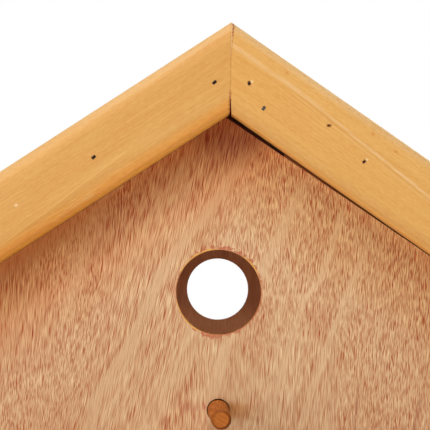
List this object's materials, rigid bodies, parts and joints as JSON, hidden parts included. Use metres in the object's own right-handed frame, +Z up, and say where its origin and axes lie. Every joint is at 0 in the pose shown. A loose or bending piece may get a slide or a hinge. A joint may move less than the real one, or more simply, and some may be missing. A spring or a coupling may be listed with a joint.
{
  "type": "bird feeder",
  "caption": "Open-sided pine bird feeder house: rimmed tray, corner posts and a pitched board roof, with a round hole and a dowel perch in each plywood gable.",
  "frame": {"origin": "centre of the house on the plane that its bearers rest on, the bottom centre of its box", "axes": "+Z up; the gable that the picture shows faces -Y; +X is to the right in the picture"},
  "size_m": [0.4524, 0.346, 0.3378],
  "materials": {
    "bargeboard_pine": "planed honey-yellow pine with a thin clear stain, satin",
    "plywood": "thin reddish open-pored veneer plywood, sanded, matte",
    "dowel": "orange-brown stained hardwood dowel, satin",
    "roof_pine": "planed pine boards with a thin honey stain, satin",
    "frame_pine": "planed pine battens with a thin honey stain, matte",
    "tray_pine": "planed pine boards with a thin honey stain, satin",
    "brad_steel": "dull dark wire steel",
    "screw_steel": "zinc-plated steel"
  },
  "bodies": {
    "root": {"gable_panel_front": "plywood", "perch_front": "dowel", "bargeboard_front_left": "bargeboard_pine", "rafter_front_left": "frame_pine", "bargeboard_front_right": "bargeboard_pine", "rafter_front_right": "frame_pine", "tie_beam_front": "frame_pine", "gable_panel_rear": "plywood", "perch_rear": "dowel", "bargeboard_rear_left": "bargeboard_pine", "rafter_rear_left": "frame_pine", "bargeboard_rear_right": "bargeboard_pine", "rafter_rear_right": "frame_pine", "tie_beam_rear": "frame_pine", "ridge_beam": "frame_pine", "eaves_beam_left": "frame_pine", "roof_board_left_1": "roof_pine", "roof_board_left_2": "roof_pine", "roof_board_left_3": "roof_pine", "roof_board_left_4": "roof_pine", "eaves_beam_right": "frame_pine", "roof_board_right_1": "roof_pine", "roof_board_right_2": "roof_pine", "roof_board_right_3": "roof_pine", "roof_board_right_4": "roof_pine", "post_front_left": "frame_pine", "post_front_right": "frame_pine", "post_rear_left": "frame_pine", "post_rear_right": "frame_pine", "tray_floor": "plywood", "tray_rim_front": "tray_pine", "tray_rim_rear": "tray_pine", "tray_rim_left": "tray_pine", "tray_rim_right": "tray_pine", "bearer_front": "frame_pine", "bearer_rear": "frame_pine", "bargeboard_brads_front": "brad_steel", "gable_pins_front": "brad_steel", "bargeboard_brads_rear": "brad_steel", "gable_pins_rear": "brad_steel", "roof_brads_left": "brad_steel", "roof_brads_right": "brad_steel", "frame_nails": "brad_steel", "rim_brads": "brad_steel", "beam_screws": "screw_steel", "post_screws": "screw_steel", "bearer_screws": "screw_steel"}
  },
  "joints": []
}
